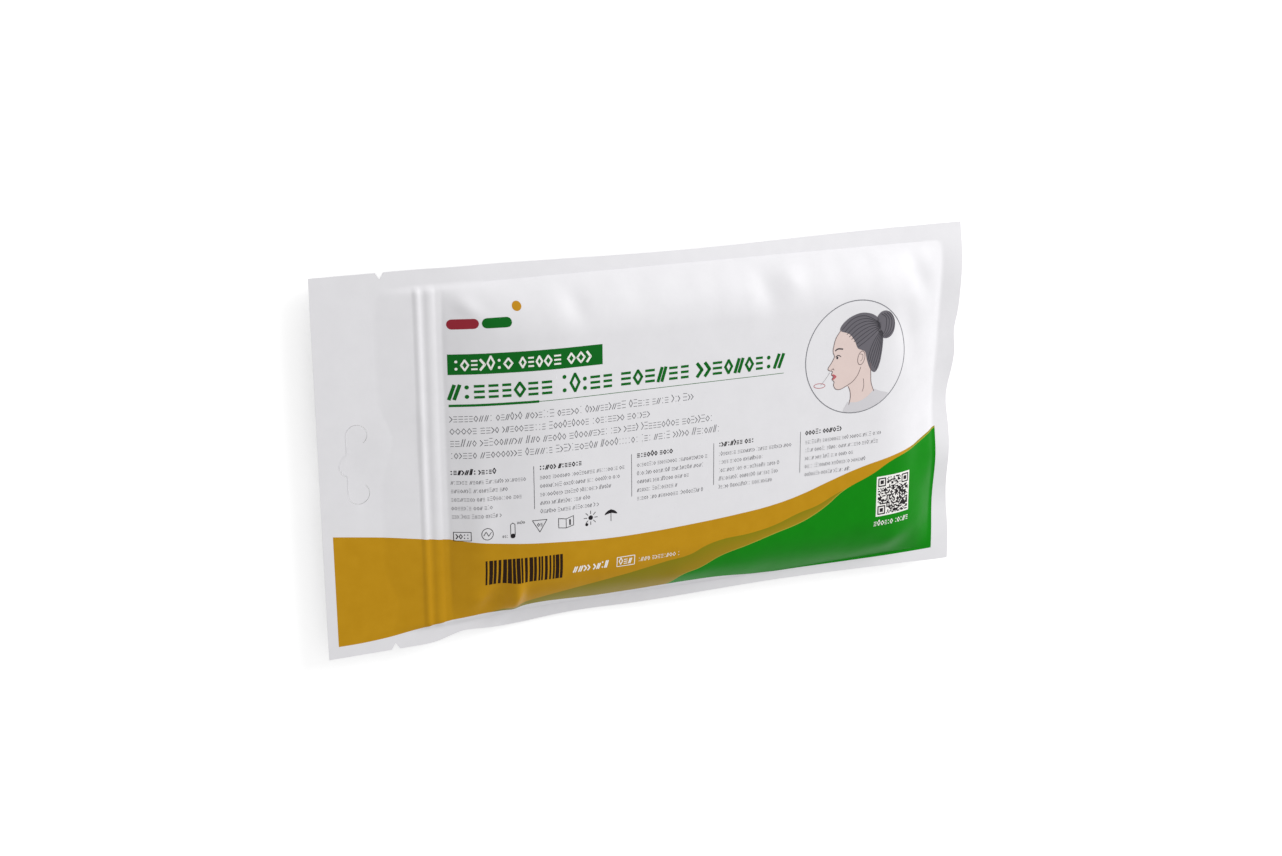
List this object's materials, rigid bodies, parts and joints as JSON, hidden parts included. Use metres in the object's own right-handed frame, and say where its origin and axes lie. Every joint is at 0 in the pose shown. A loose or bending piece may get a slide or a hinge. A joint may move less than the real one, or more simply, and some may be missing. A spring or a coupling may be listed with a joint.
{
  "type": "sealed self-test kit pouch",
  "caption": "Flat printed laminate pouch, sealed all round and filled, with a hang header, tear notches and press-to-close zipper ridges.",
  "frame": {"origin": "on the surface that the pouch lies on, under the middle of its box", "axes": "+Z out of the printed front; +X along the length, away from the hang header; +Y towards the top edge of the print"},
  "size_m": [0.26, 0.14, 0.0173],
  "materials": {
    "laminate": "satin"
  },
  "bodies": {
    "root": {"pouch": "laminate"}
  },
  "joints": []
}
